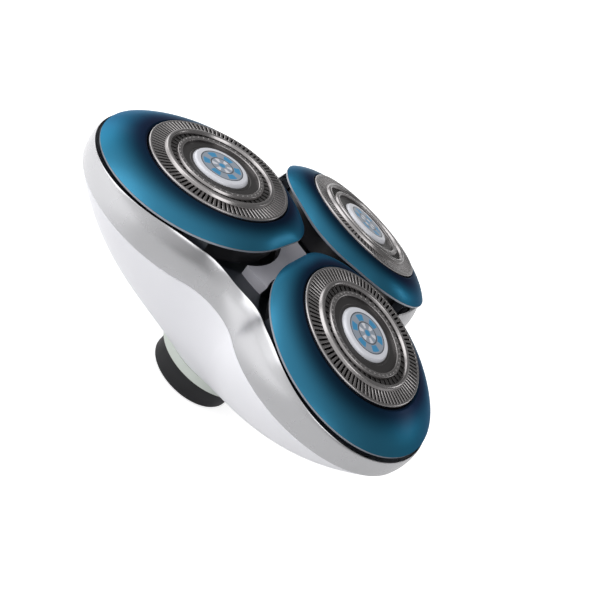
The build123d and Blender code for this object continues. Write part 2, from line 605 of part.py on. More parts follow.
def inner_frame():
    """Charcoal frame: three wells, pivot posts, and posts for the gear plate's screws."""
    below, seam = SHELL_SECTIONS[-2:]
    share = (FRAME_FLOOR_BOTTOM - below[3]) / (seam[3] - below[3])
    centre, radius, waist = (blend(below[k], seam[k], share) for k in range(3))
    inset = SHELL_WALL + FRAME_FOOT_GAP
    body = lobed_plate(centre, radius - inset, waist - inset, FRAME_FLOOR_BOTTOM, SEAM_HEIGHT)
    body += lobed_plate(
        RIM_LOBE_CENTRE, RIM_INNER_RADIUS - FRAME_PLAY, RIM_INNER_WAIST - FRAME_PLAY, SEAM_HEIGHT, FRAME_TOP,
    )
    body -= [above_heads(place, RIM_DROP + FRAME_DROP) for place in head_places()]
    body -= [well(place) for place in head_places()]
    near = HOLDER_RADIUS + POST_GAP
    keep = Pos(0, 0, FRAME_FLOOR_BOTTOM) * Box(
        2 * FAR, 2 * FAR, FAR, align=(Align.CENTER, Align.CENTER, Align.MIN)
    )
    for place in head_places():
        for side in (1, -1):
            post = Pos(0, side * (near + POST_THICK / 2), -PIVOT_DEPTH + POST_TOP) * Box(
                2 * POST_HALF, POST_THICK, FAR / 4, align=(Align.CENTER, Align.CENTER, Align.MAX)
            )
            body += (place * post) & keep
        pivot = Plane(origin=(0, 0, -PIVOT_DEPTH), z_dir=(0, 1, 0)) * extrude(
            Circle(PIVOT_RADIUS + PIVOT_PLAY), HOLDER_RADIUS + PIVOT_LENGTH + PIVOT_PLAY, both=True
        )
        body -= place * pivot
    for place in waist_places(SCREW_CIRCLE):
        body += place * disc(SCREW_POST_RADIUS, PLATE_TOP, FRAME_FLOOR_BOTTOM)
        body -= place * disc(SCREW_RADIUS, PLATE_TOP, PLATE_BOTTOM + SCREW_LENGTH)
    spindle_hole = GEAR_HUB_RADIUS + HEAD_TILT_PLAY
    body -= [gear_place(a) * disc(spindle_hole, FRAME_FLOOR_BOTTOM, FRAME_FLOOR_TOP) for a in HEAD_ANGLES.values()]
    return body - disc(CENTRAL_STUB_RADIUS + HUB_PLAY, FRAME_FLOOR_BOTTOM, CENTRAL_STUB_TOP + HUB_PLAY)


def centre_bridge():
    """Silver Y on the webs between the wells, with flared arm ends."""
    body = disc(BRIDGE_REACH, FRAME_TOP, BRIDGE_TOP)
    return body - [place * disc(WELL_RADIUS + BRIDGE_GAP, -FAR / 2, FAR / 4) for place in head_places()]


def gear_plate():
    """Plate under the gears, with the pins that the drive gears turn on."""
    top = PLATE_TOP
    body = lobed_plate(
        GEAR_DISTANCE - PLATE_LOBE, PLATE_LOBE + GEAR_HUB_RADIUS + PLATE_MARGIN,
        SCREW_REACH + PLATE_EDGE, PLATE_BOTTOM, top,
    )
    body -= disc(CENTRAL_HUB_RADIUS + PLATE_BORE_PLAY, PLATE_BOTTOM, top)
    body -= [p * disc(SCREW_RADIUS + SCREW_PLAY, PLATE_BOTTOM, top) for p in waist_places(SCREW_CIRCLE)]
    for angle in HEAD_ANGLES.values():
        body += gear_place(angle) * disc(GEAR_PIN_RADIUS, top, GEAR_PIN_TOP)
        body += gear_place(angle) * disc(GEAR_HUB_RADIUS, top, GEAR_BOTTOM - GEAR_PIN_PLAY)
    return body


def plate_screws():
    """Three slotted screws that hold the gear plate to the frame."""
    screw = disc(SCREW_RADIUS, PLATE_BOTTOM, PLATE_BOTTOM + SCREW_LENGTH)
    screw += disc(SCREW_HEAD_RADIUS, PLATE_BOTTOM - SCREW_HEAD, PLATE_BOTTOM)
    screw -= Pos(0, 0, PLATE_BOTTOM - SCREW_HEAD) * Box(3 * SCREW_HEAD_RADIUS, SCREW_SLOT, SCREW_HEAD)
    return Compound(children=[place * screw for place in waist_places(SCREW_CIRCLE)])


def coupling_collar():
    """Black collar: a bore for the handle, a floor with the gear's bearing, and a flange."""
    return turned(
        (COLLAR_BORE, 0), (COLLAR_RADIUS - COLLAR_EDGE, 0), (COLLAR_RADIUS, COLLAR_EDGE),
        (COLLAR_RADIUS, NECK_RING_BOTTOM), (COLLAR_SHANK, NECK_RING_BOTTOM),
        (COLLAR_SHANK, COLLAR_FLANGE_BOTTOM), (COLLAR_FLANGE, COLLAR_FLANGE_BOTTOM),
        (COLLAR_FLANGE, COLLAR_TOP), (COLLAR_BORE, COLLAR_TOP), (COLLAR_BORE, COLLAR_BORE_DEPTH + COLLAR_FLOOR),
        (CENTRAL_HUB_RADIUS + HUB_PLAY, COLLAR_BORE_DEPTH + COLLAR_FLOOR),
        (CENTRAL_HUB_RADIUS + HUB_PLAY, COLLAR_BORE_DEPTH), (COLLAR_BORE, COLLAR_BORE_DEPTH),
    )


def neck_ring():
    """Pale ring between the collar and the shell's neck."""
    return tube(COLLAR_SEAT, COLLAR_RADIUS + NECK_RING_WALL, NECK_RING_BOTTOM, NECK_HEIGHT)


def neck_seal():
    """Rubber seal under the collar's flange."""
    return tube(COLLAR_SEAT, COLLAR_FLANGE, NECK_HEIGHT + SHELL_FLOOR, COLLAR_FLANGE_BOTTOM)


os.makedirs("parts", exist_ok=True)
pieces = {
    "lower_shell": lower_shell(),
    "rim_band": rim_band(),
    "inner_frame": inner_frame(),
    "centre_bridge": centre_bridge(),
    "gear_plate": gear_plate(),
    "plate_screws": plate_screws(),
    "coupling_collar": coupling_collar(),
    "neck_ring": neck_ring(),
    "neck_seal": neck_seal(),
    "central_gear": central_gear(),
}
head_pieces = {
    "holder": holder(),
    "domed_ring": domed_ring(),
    "guard_cap": guard_cap(),
    "cap_disc": cap_disc(),
    "cutter": cutter(),
    "cutter_hub": cutter_hub(),
    "retainer": retainer(),
}
for number, angle in HEAD_ANGLES.items():
    for name, piece in head_pieces.items():
        pieces[f"{name}_{number}"] = head_place(angle) * piece
    pieces[f"drive_gear_{number}"] = drive_gear(angle)
    pieces[f"drive_spindle_{number}"] = drive_spindle(angle)

for name, piece in pieces.items():
    export_step(piece, f"parts/{name}.step")
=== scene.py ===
import json
from math import cos, pi, radians, sin

import bpy
import numpy as np
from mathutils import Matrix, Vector


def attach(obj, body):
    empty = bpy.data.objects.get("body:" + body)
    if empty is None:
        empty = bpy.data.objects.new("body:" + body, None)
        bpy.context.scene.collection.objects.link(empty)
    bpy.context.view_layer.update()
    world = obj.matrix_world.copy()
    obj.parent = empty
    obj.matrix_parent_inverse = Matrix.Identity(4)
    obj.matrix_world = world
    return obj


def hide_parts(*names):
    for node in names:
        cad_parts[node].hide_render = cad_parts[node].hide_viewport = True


bl_info = {
    "name": "Rotary shaver head",
    "version": (1, 0, 0),
    "blender": (4, 5, 0),
    "location": "3D View > Sidebar > Shaver head",
    "description": "Builds the visible pieces of a rotary shaver head round its CAD frame",
    "category": "Object",
}

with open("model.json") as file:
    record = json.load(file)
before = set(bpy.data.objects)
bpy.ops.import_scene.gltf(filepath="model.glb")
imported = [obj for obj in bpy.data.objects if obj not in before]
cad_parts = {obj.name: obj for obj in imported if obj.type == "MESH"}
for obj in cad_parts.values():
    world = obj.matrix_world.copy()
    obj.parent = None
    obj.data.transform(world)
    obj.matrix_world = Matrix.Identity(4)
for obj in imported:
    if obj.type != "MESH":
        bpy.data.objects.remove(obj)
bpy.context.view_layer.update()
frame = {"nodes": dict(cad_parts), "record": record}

# Lengths are in millimetres, and become metres when a mesh is built
MM = 0.001

# Heads, as in the CAD source: directions in degrees, distance of their middles from the axis,
# tilt, and height of the caps' face
HEAD_ANGLES = {1: 210, 2: 330, 3: 90}
HEAD_OFFSET = 15.64 / sin(pi / 3)
HEAD_TILT = radians(9.6)
CAP_PLANE = 31.7

# Sections of the lower shell and the rim: lobe centre, lobe radius, waist and height
SHELL_SECTIONS = np.array([
    (0.9, 7.6, 8.3, 5.6), (6.4, 8.6, 11.2, 8.6), (11.4, 11.2, 14.6, 12.4),
    (15.2, 14.4, 17.6, 17.0), (18.6, 16.2, 19.4, 22.1),
])
RIM_SECTIONS = np.array([
    (18.6, 16.2, 19.4, 22.1), (18.8, 16.3, 19.4, 24.25), (19.0, 15.8, 18.8, 26.4),
])
RIM_INSIDE = (19.0, 14.8, 17.8)
SEAM = 22.1
RIM_TOP = 26.4

# Lower shell: its foot, the floor inside, its wall, the neck's opening, and the round edge
# where the floor meets the wall
SHELL_FOOT = 5.6
SHELL_FLOOR = 7.4
SHELL_WALL = 1.4
NECK_OPENING = 7.05
FLOOR_EDGE = 8.05

# Rim: how far its ledge stays under the rings, the level whose outline the lip follows, the
# lip's own level on the lobes and at the waists, its gap to the rings, its width, and the
# rounding of its outer side
RIM_DROP = 0.8
RIM_OUTLINE = 25.4
RIM_CREST = 27.8
RIM_DIP = 26.7
RIM_LIP_GAP = 0.25
RIM_LIP_WIDTH = 0.16
RIM_LIP_ROUND = 0.5

# Domed rings, from the caps' face: foot, top of the dome, height of the pale lip, radius of
# the bore, and radius and height of the step that takes the holder
RING_FOOT = -3.1
RING_TOP = -0.35
RING_LIP = 0.4
RING_BORE = 11.15
RING_STEP = (12.45, -1.3)

# Radius and shift of the large and the small circle of a ring's egg, at its foot and its top
EGG_FOOT = np.array([15.5, 1.7, 8.0, -7.2])
EGG_TOP = np.array([11.4, 0.1, 10.85, -0.6])

# Guard caps: thickness of the slotted face
CAP_WALL = 0.32

# Sockets of a Mix node that mixes colours
MIX_FIRST, MIX_SECOND, MIX_RESULT = 6, 7, 2


# Grids and meshes


def lobe_table(lobe_steps, waist_steps):
    """For each column of a lobed row: whether it lies on a waist arc, how far along its arc
    it is from 0 to 1, on which side of the lobe it is, and the direction of its lobe."""
    steps = np.arange(1, waist_steps + 1) / waist_steps
    arc = np.r_[np.arange(lobe_steps + 1) / lobe_steps, steps]
    waist = np.r_[np.zeros(lobe_steps + 1, bool), np.ones(waist_steps, bool)]
    side = np.r_[-np.ones(len(arc) - 1), 0, np.ones(len(arc) - 2)]
    one = np.r_[waist[::-1], waist[1:-1]], np.r_[arc[::-1], arc[1:-1]], side
    lobe = np.repeat(np.radians([90, 210, 330]), len(side))
    return (*(np.tile(values, 3) for values in one), lobe)


COLUMNS = lobe_table(30, 22)


def lobed_rows(centre, radius, waist, height):
    """Points on lobed outlines. A lobe is an arc about its centre, from its tip to where it
    touches the waist arc. The waist arc is centred on the line through the waist, at the
    distance that makes the two arcs tangent, and ends at the waist."""
    on_waist, along, side, lobe = COLUMNS
    c, r, w, z = (
        np.asarray(v, float) for v in np.broadcast_arrays(centre, radius, waist, height))
    across, depth = c * sin(pi / 3), w - c * cos(pi / 3)
    least = 1e-7
    gap = r - depth
    gap = np.where(np.abs(gap) < least, least, gap)
    bend = (across**2 + depth**2 - r**2) / (2 * gap)

    # Directions out through the waist and along it, and from the waist arc's centre to the lobe's
    out_x, out_y = cos(pi / 3), sin(pi / 3)
    along_x, along_y = -out_y, out_x
    arc_x, arc_y = (w + bend) * out_x, (w + bend) * out_y
    dx, dy = c - arc_x, -arc_y
    reach = np.hypot(dx, dy)
    dx, dy = dx / reach, dy / reach

    touch_x, touch_y = arc_x + dx * np.abs(bend), arc_y + dy * np.abs(bend)
    lobe_end = np.arctan2(touch_y, touch_x - c)
    turn = -np.sign(bend)
    waist_end = np.arctan2(
        turn * (dx * along_x + dy * along_y), turn * (dx * out_x + dy * out_y))
    t, s = lobe_end * along, waist_end * (1 - along)
    rise, slide = 2 * bend * np.sin(s / 2) ** 2, bend * np.sin(s)
    x = np.where(on_waist, (w + rise) * out_x - slide * along_x, c + r * np.cos(t))
    y = np.where(on_waist, (w + rise) * out_y - slide * along_y, r * np.sin(t)) * side
    return np.stack([
        x * np.cos(lobe) - y * np.sin(lobe), x * np.sin(lobe) + y * np.cos(lobe), z + 0 * x,
    ], -1)


def smooth_sections(sections, heights):
    """Lobe centre, radius and waist at given heights: one polynomial through all sections,
    and its tangent above the last."""
    levels = sections[:, 3]
    held = np.minimum(heights, levels[-1])
    curves = [np.polyfit(levels, sections[:, k], len(sections) - 1) for k in range(3)]
    return [
        np.polyval(curve, held) + np.polyval(np.polyder(curve), held) * (heights - held)
        for curve in curves
    ]


def turned_rows(profile, segments):
    """Rows of a turned shape: each profile point, a radius and a height, swept round Z."""
    profile = np.asarray(profile, float)
    t = np.linspace(0, 2 * pi, segments, endpoint=False)
    r, z = profile[:, :1], profile[:, 1:]
    return np.stack([r * np.cos(t), r * np.sin(t), z + 0 * t], -1)


def repeated_round(x, y, z, count):
    """Copies of one small grid, turned round Z in even steps: an array of copy, row, column
    and coordinate."""
    turn = np.arange(count)[:, None, None] * 2 * pi / count
    return np.stack(np.broadcast_arrays(
        x * np.cos(turn) - y * np.sin(turn), x * np.sin(turn) + y * np.cos(turn), z), -1)


def round_corner(corner, before, after, radius, steps=5):
    """Profile points of a rounded corner: a quadratic curve from a point on the side before
    the corner to a point on the side after it, each at the given distance from it."""
    p, a, b = (np.asarray(v, float) for v in (corner, before, after))
    start = p + (a - p) * radius / np.linalg.norm(a - p)
    end = p + (b - p) * radius / np.linalg.norm(b - p)
    t = np.linspace(0, 1, steps)[:, None]
    return (1 - t) ** 2 * start + 2 * t * (1 - t) * p + t**2 * end


def rounded_profile(corners):
    """Closed profile from corners given as radius, height and rounding."""
    corners = [np.asarray(c, float) for c in corners]
    parts = []
    for k, c in enumerate(corners):
        before, after = corners[k - 1][:2], corners[(k + 1) % len(corners)][:2]
        parts.append(round_corner(c[:2], before, after, c[2]) if c[2] else c[None, :2])
    return np.concatenate(parts)


def grid_faces(rows, columns, close_rows):
    """Corner numbers of the four-sided faces of a grid whose columns close round, and whose
    last row may join its first."""
    i = np.arange(rows if close_rows else rows - 1)[:, None]
    j = np.arange(columns)[None]
    down, right = (i + 1) % rows, (j + 1) % columns
    faces = np.stack([
        i * columns + j, i * columns + right, down * columns + right, down * columns + j,
    ], -1)
    return faces.reshape(-1, 4)


def on_head(points, number):
    """Points of one head's own frame, moved to that head."""
    a = radians(HEAD_ANGLES[number])
    u = np.array([cos(HEAD_TILT) * cos(a), cos(HEAD_TILT) * sin(a), -sin(HEAD_TILT)])
    v = np.array([-sin(a), cos(a), 0])
    n = np.array([sin(HEAD_TILT) * cos(a), sin(HEAD_TILT) * sin(a), cos(HEAD_TILT)])
    origin = np.array([HEAD_OFFSET * cos(a), HEAD_OFFSET * sin(a), CAP_PLANE])
    return origin + points[..., :1] * u + points[..., 1:2] * v + points[..., 2:3] * n


class Surface:
    """Grids gathered for one piece, with a flat pattern coordinate for each point."""

    def __init__(self):
        self.points, self.faces, self.pattern, self.slots, self.count = [], [], [], [], 0

    def keep(self, points, faces, pattern, slot):
        """Stores points, the faces between them, their pattern and their material's slot. The
        pattern is the points' own X and Y unless another is given."""
        if pattern is None:
            pattern = points[..., :2]
        self.points.append(points.reshape(-1, 3))
        self.pattern.append(pattern.reshape(-1, 2))
        self.faces.append(faces + self.count)
        self.slots.append(np.full(len(faces), slot))
        self.count += len(self.points[-1])
        return self

    def add(self, points, close_rows=True, pattern=None, slot=0, flip=False):
        """One grid, in an array of row, column and coordinate."""
        faces = grid_faces(*points.shape[:2], close_rows)
        return self.keep(points, faces[:, ::-1] if flip else faces, pattern, slot)

    def add_tubes(self, points, slot=0):
        """Like tubes, in one array of tube, row, column and coordinate. A ladder of four-sided
        faces closes the first row, and another the last."""
        tubes, rows, columns = points.shape[:3]
        k = np.arange(columns // 2 - 1)
        ladder = np.stack([k, k + 1, columns - 2 - k, columns - 1 - k], -1)
        one = np.concatenate([
            grid_faces(rows, columns, False), ladder[:, ::-1], ladder + (rows - 1) * columns,
        ])
        first = np.arange(tubes)[:, None, None] * rows * columns
        return self.keep(points, (one + first).reshape(-1, 4), None, slot)

    def build(self, name, materials, sharp=35, head=None):
        """Mesh object from the gathered grids, in metres, with its pattern as a UV map. The
        grids of a head's piece are in that head's own frame."""
        points = np.concatenate(self.points)
        if head is not None:
            points = on_head(points, head)
        mesh = bpy.data.meshes.new(name)
        mesh.from_pydata((points * MM).tolist(), [], np.concatenate(self.faces).tolist())
        corners = np.zeros(len(mesh.loops), np.int32)
        mesh.loops.foreach_get("vertex_index", corners)
        flat = np.concatenate(self.pattern)[corners].astype(np.float32)
        mesh.uv_layers.new(name="pattern").data.foreach_set("uv", flat.ravel())
        slots = np.concatenate(self.slots).astype(np.int32)
        mesh.polygons.foreach_set("material_index", slots)
        mesh.validate()
        mesh.shade_smooth()
        mesh.set_sharp_from_angle(angle=radians(sharp))
        for material in materials:
            mesh.materials.append(material)
        piece = bpy.data.objects.new(name, mesh)
        bpy.context.scene.collection.objects.link(piece)
        return piece


def seat(piece, body, node):
    """A finished piece rides on its body and stands for its CAD node."""
    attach(piece, body)
    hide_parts(node)


# Nodes and node groups that several materials share


def new_group(name, inputs, outputs):
    """Empty shader node group with named inputs, their defaults, and named outputs."""
    group = bpy.data.node_groups.new(name, "ShaderNodeTree")
    for label, value in inputs:
        socket = group.interface.new_socket(
            label, in_out="INPUT", socket_type="NodeSocketFloat")
        socket.default_value = value
    for label in outputs:
        group.interface.new_socket(label, in_out="OUTPUT", socket_type="NodeSocketFloat")
    return group, group.nodes.new("NodeGroupInput"), group.nodes.new("NodeGroupOutput")


def math_node(tree, operation, first, second=None):
    """Math node whose inputs are sockets or numbers."""
    node = tree.nodes.new("ShaderNodeMath")
    node.operation = operation
    for socket, value in zip(node.inputs, (first, second)):
        if isinstance(value, (int, float)):
            socket.default_value = value
        elif value is not None:
            tree.links.new(value, socket)
    return node.outputs[0]


def range_node(tree, value, low, high, start, end):
    """Smooth step of a value, from start at low to end at high."""
    node = tree.nodes.new("ShaderNodeMapRange")
    node.interpolation_type = "SMOOTHSTEP"
    limits = {"From Min": low, "From Max": high, "To Min": start, "To Max": end}
    for label, number in limits.items():
        node.inputs[label].default_value = number
    tree.links.new(value, node.inputs["Value"])
    return node.outputs["Result"]


def mix_node(tree, factor, first, second):
    """Mix of two colours, each a socket or a plain colour."""
    node = tree.nodes.new("ShaderNodeMix")
    node.data_type = "RGBA"
    tree.links.new(factor, node.inputs[0])
    for number, value in ((MIX_FIRST, first), (MIX_SECOND, second)):
        if isinstance(value, bpy.types.NodeSocket):
            tree.links.new(value, node.inputs[number])
        else:
            node.inputs[number].default_value = (*value[:3], 1)
    return node.outputs[MIX_RESULT]


def pattern_nodes(tree):
    """The two coordinates of a piece's pattern map, and the distance from its middle."""
    place = tree.nodes.new("ShaderNodeUVMap")
    place.uv_map = "pattern"
    split = tree.nodes.new("ShaderNodeSeparateXYZ")
    length = tree.nodes.new("ShaderNodeVectorMath")
    length.operation = "LENGTH"
    tree.links.new(place.outputs["UV"], split.inputs[0])
    tree.links.new(place.outputs["UV"], length.inputs[0])
    return split.outputs["X"], split.outputs["Y"], length.outputs["Value"]


def grain_group():
    """Moulded grain and faint uneven gloss, from two noises of the object's own coordinates.
    The roughness swings by the variation each way with the broad noise."""
    name = "moulded grain"
    if name in bpy.data.node_groups:
        return bpy.data.node_groups[name]
    group, inside, outside = new_group(
        name, [("Grain scale", 4000), ("Roughness", 0.4), ("Variation", 0.06)],
        ["Height", "Roughness", "Mask"])
    place = group.nodes.new("ShaderNodeTexCoord")
    fine, broad = (group.nodes.new("ShaderNodeTexNoise") for _ in range(2))
    fine.inputs["Detail"].default_value = 3
    broad.inputs["Detail"].default_value = 4
    broad.inputs["Scale"].default_value = 160
    group.links.new(place.outputs["Object"], fine.inputs["Vector"])
    group.links.new(place.outputs["Object"], broad.inputs["Vector"])
    group.links.new(inside.outputs["Grain scale"], fine.inputs["Scale"])
    swing = math_node(group, "SUBTRACT", broad.outputs["Fac"], 0.5)
    swing = math_node(group, "MULTIPLY", swing, inside.outputs["Variation"])
    swing = math_node(group, "MULTIPLY", swing, 2.0)
    rough = math_node(group, "ADD", inside.outputs["Roughness"], swing)
    group.links.new(rough, outside.inputs["Roughness"])
    group.links.new(fine.outputs["Fac"], outside.inputs["Height"])
    group.links.new(broad.outputs["Fac"], outside.inputs["Mask"])
    return group


def turning_group():
    """Fine lathe lines: noise along the radius alone, read from the pattern coordinates."""
    name = "turned lines"
    if name in bpy.data.node_groups:
        return bpy.data.node_groups[name]
    group, inside, outside = new_group(
        name, [("Lines per mm", 14), ("Roughness", 0.3)], ["Height", "Roughness", "Mask"])
    radius = pattern_nodes(group)[2]
    noise = group.nodes.new("ShaderNodeTexNoise")
    noise.noise_dimensions = "1D"
    noise.inputs["Scale"].default_value = 1
    noise.inputs["Detail"].default_value = 2
    along = math_node(group, "MULTIPLY", radius, inside.outputs["Lines per mm"])
    group.links.new(along, noise.inputs["W"])
    swing = math_node(group, "SUBTRACT", noise.outputs["Fac"], 0.5)
    swing = math_node(group, "MULTIPLY", swing, 0.2)
    rough = math_node(group, "ADD", inside.outputs["Roughness"], swing)
    group.links.new(rough, outside.inputs["Roughness"])
    group.links.new(noise.outputs["Fac"], outside.inputs["Height"])
    group.links.new(noise.outputs["Fac"], outside.inputs["Mask"])
    return group


def finish(name, colour, roughness, metallic=0.0, grain=4000, bump=0.0, variation=0.05,
           shift=0.0, turned=0.0, coat=0.0, coat_roughness=0.1, specular=0.5):
    """Material with a grain, or turned lines where their number per millimetre is given,
    behind its roughness, its bump and a faint shift of its colour."""
    material = bpy.data.materials.new(name)
    material.use_nodes = True
    tree = material.node_tree
    shader = tree.nodes["Principled BSDF"]
    shader.inputs["Base Color"].default_value = (*colour, 1)
    shader.inputs["Metallic"].default_value = metallic
    shader.inputs["Coat Weight"].default_value = coat
    shader.inputs["Coat Roughness"].default_value = coat_roughness
    shader.inputs["Specular IOR Level"].default_value = specular
    texture = tree.nodes.new("ShaderNodeGroup")
    texture.node_tree = turning_group() if turned else grain_group()
    texture.inputs["Roughness"].default_value = roughness
    if turned:
        texture.inputs["Lines per mm"].default_value = turned
    else:
        texture.inputs["Grain scale"].default_value = grain
        texture.inputs["Variation"].default_value = variation
    tree.links.new(texture.outputs["Roughness"], shader.inputs["Roughness"])
    if bump:
        relief = tree.nodes.new("ShaderNodeBump")
        relief.inputs["Strength"].default_value = bump
        relief.inputs["Distance"].default_value = 0.02 * MM
        tree.links.new(texture.outputs["Height"], relief.inputs["Height"])
        tree.links.new(relief.outputs["Normal"], shader.inputs["Normal"])
    if shift:
        darker = [c * (1 - shift) for c in colour]
        lighter = [min(1, c * (1 + shift)) for c in colour]
        mixed = mix_node(tree, texture.outputs["Mask"], darker, lighter)
        tree.links.new(mixed, shader.inputs["Base Color"])
    return material


def fade_colour(material, start, end, far_colour):
    """Base colour that fades with the first coordinate of the pattern map, from the
    material's own colour at start to another at end."""
    tree = material.node_tree
    own = tree.nodes["Principled BSDF"].inputs["Base Color"]
    near = own.links[0].from_socket if own.links else own.default_value
    share = range_node(tree, pattern_nodes(tree)[0], start, end, 0.0, 1.0)
    tree.links.new(mix_node(tree, share, near, far_colour), own)


def disc_finish(name, silver, blue, grey):
    """Silver disc with a plain printed design on a grey field: six silver spokes, six blue
    dashes, a blue centre and two dark lines. Spokes and dashes are a band of radius and a
    share of each sixth of the turn."""
    material = finish(name, silver, 0.34, metallic=0.1, grain=6000, bump=0.2)
    tree = material.node_tree
    x, y, radius = pattern_nodes(tree)
    turn = math_node(tree, "ADD", math_node(tree, "ARCTAN2", y, x), pi)
    sixth = math_node(tree, "FRACT", math_node(tree, "MULTIPLY", turn, 3 / pi))

    def within(high):
        return math_node(tree, "LESS_THAN", radius, high)

    def band(low, high):
        beyond = math_node(tree, "GREATER_THAN", radius, low)
        return math_node(tree, "MULTIPLY", beyond, within(high))

    def pieces(low, high, share):
        part = math_node(tree, "LESS_THAN", sixth, share)
        return math_node(tree, "MULTIPLY", band(low, high), part)

    field = within(3.3)
    spokes = pieces(0.75, 1.6, 0.45)
    lines = math_node(tree, "ADD", band(3.18, 3.36), band(1.64, 1.84))
    blues = math_node(tree, "ADD", pieces(1.95, 2.95, 0.52), within(0.5))
    dark = [c * 0.3 for c in grey]
    colour = silver
    for mask, tint in ((field, grey), (spokes, silver), (lines, dark), (blues, blue)):
        colour = mix_node(tree, mask, colour, tint)
    tree.links.new(colour, tree.nodes["Principled BSDF"].inputs["Base Color"])
    return material


# Settings that a user would change


class ShaverColours(bpy.types.PropertyGroup):
    """Colours of the visible pieces"""

    ring: bpy.props.FloatVectorProperty(
        name="Domed rings", description="Metallic paint of the domed rings",
        subtype="COLOR", size=3, min=0, max=1, default=(0.035, 0.19, 0.31))
    # Painted shade: the rings' paint darkens towards the caps, standing in for the shade and dark
    # reflections there
    ring_painted_shade: bpy.props.FloatVectorProperty(
        name="Rings by the caps", description="Painted shade of the domed rings round the caps",
        subtype="COLOR", size=3, min=0, max=1, default=(0.006, 0.026, 0.055))
    # Painted highlight: the pale colour of the rings' lower lip stands in for the highlight along
    # that edge
    ring_lip_painted_highlight: bpy.props.FloatVectorProperty(
        name="Ring lip", description="Pale lower edge of the domed rings, a painted highlight",
        subtype="COLOR", size=3, min=0, max=1, default=(0.3, 0.33, 0.38))
    rim: bpy.props.FloatVectorProperty(
        name="Rim band", description="Satin silver of the rim band",
        subtype="COLOR", size=3, min=0, max=1, default=(0.49, 0.49, 0.505))
    shell: bpy.props.FloatVectorProperty(
        name="Lower shell", description="Plastic of the lower shell",
        subtype="COLOR", size=3, min=0, max=1, default=(0.85, 0.85, 0.89))
    steel: bpy.props.FloatVectorProperty(
        name="Caps", description="Steel of the guard caps",
        subtype="COLOR", size=3, min=0, max=1, default=(0.36, 0.345, 0.345))
    disc: bpy.props.FloatVectorProperty(
        name="Discs", description="Silver of the discs on the caps",
        subtype="COLOR", size=3, min=0, max=1, default=(0.68, 0.69, 0.74))
    design: bpy.props.FloatVectorProperty(
        name="Disc design", description="Blue of the design on the discs",
        subtype="COLOR", size=3, min=0, max=1, default=(0.05, 0.27, 0.5))
    charcoal: bpy.props.FloatVectorProperty(
        name="Inner frame", description="Plastic of the inner frame",
        subtype="COLOR", size=3, min=0, max=1, default=(0.022, 0.026, 0.034))


class ShaverSizes(bpy.types.PropertyGroup):
    """Sizes of the detail that is added to the CAD pieces, in millimetres"""

    slots: bpy.props.IntProperty(
        name="Slots", description="Number of slots in a cap's outer track",
        default=90, min=24, max=180)
    slot_width: bpy.props.FloatProperty(
        name="Slot width", description="Width of a slot in the outer track, in mm",
        default=0.3, min=0.1, max=0.6)
    holes: bpy.props.IntProperty(
        name="Holes", description="Number of openings in a cap's inner track",
        default=45, min=12, max=90)
    seam: bpy.props.FloatProperty(
        name="Seam", description="Depth of the seam between rim and shell, in mm",
        default=0.1, min=0.02, max=0.3)


def colours():
    return bpy.context.scene.shaver_colours


def sizes():
    return bpy.context.scene.shaver_sizes


# Operators, one for each piece or group of like pieces


class SHAVER_OT_lower_shell(bpy.types.Operator):
    """Lower shell: smooth sections from the neck to the seam, and its inside"""

    bl_idname = "shaver.lower_shell"
    bl_label = "Lower shell"

    def execute(self, context):
        seam = sizes().seam
        rise = np.linspace(6.2, SEAM - 0.35, 44)
        inner = np.linspace(SEAM, SHELL_FLOOR, 16)
        heights = np.r_[
            SHELL_FOOT, SHELL_FOOT + 0.08, SHELL_FOOT + 0.25, rise, SEAM - seam, SEAM, inner]
        inset = np.r_[
            0.25, 0.07, 0, np.zeros(len(rise)), 0, seam, np.full(len(inner), SHELL_WALL)]
        c, r, w = smooth_sections(SHELL_SECTIONS, heights)

        # The floor and the neck's opening are round: lobes with their centres at the axis
        axis = np.full(3, 0.001)
        neck = np.array([FLOOR_EDGE, NECK_OPENING, NECK_OPENING])
        rows = lobed_rows(
            np.r_[c, axis][:, None], np.r_[r - inset, neck][:, None],
            np.r_[w - inset, neck][:, None],
            np.r_[heights, SHELL_FLOOR, SHELL_FLOOR, SHELL_FOOT][:, None])
        material = finish(
            "white shell", colours().shell, 0.32, grain=5000, bump=0.12, variation=0.05,
            shift=0.02)
        piece = Surface().add(rows).build("lower_shell_skin", [material])
        seat(piece, "housing", "lower_shell")
        return {"FINISHED"}


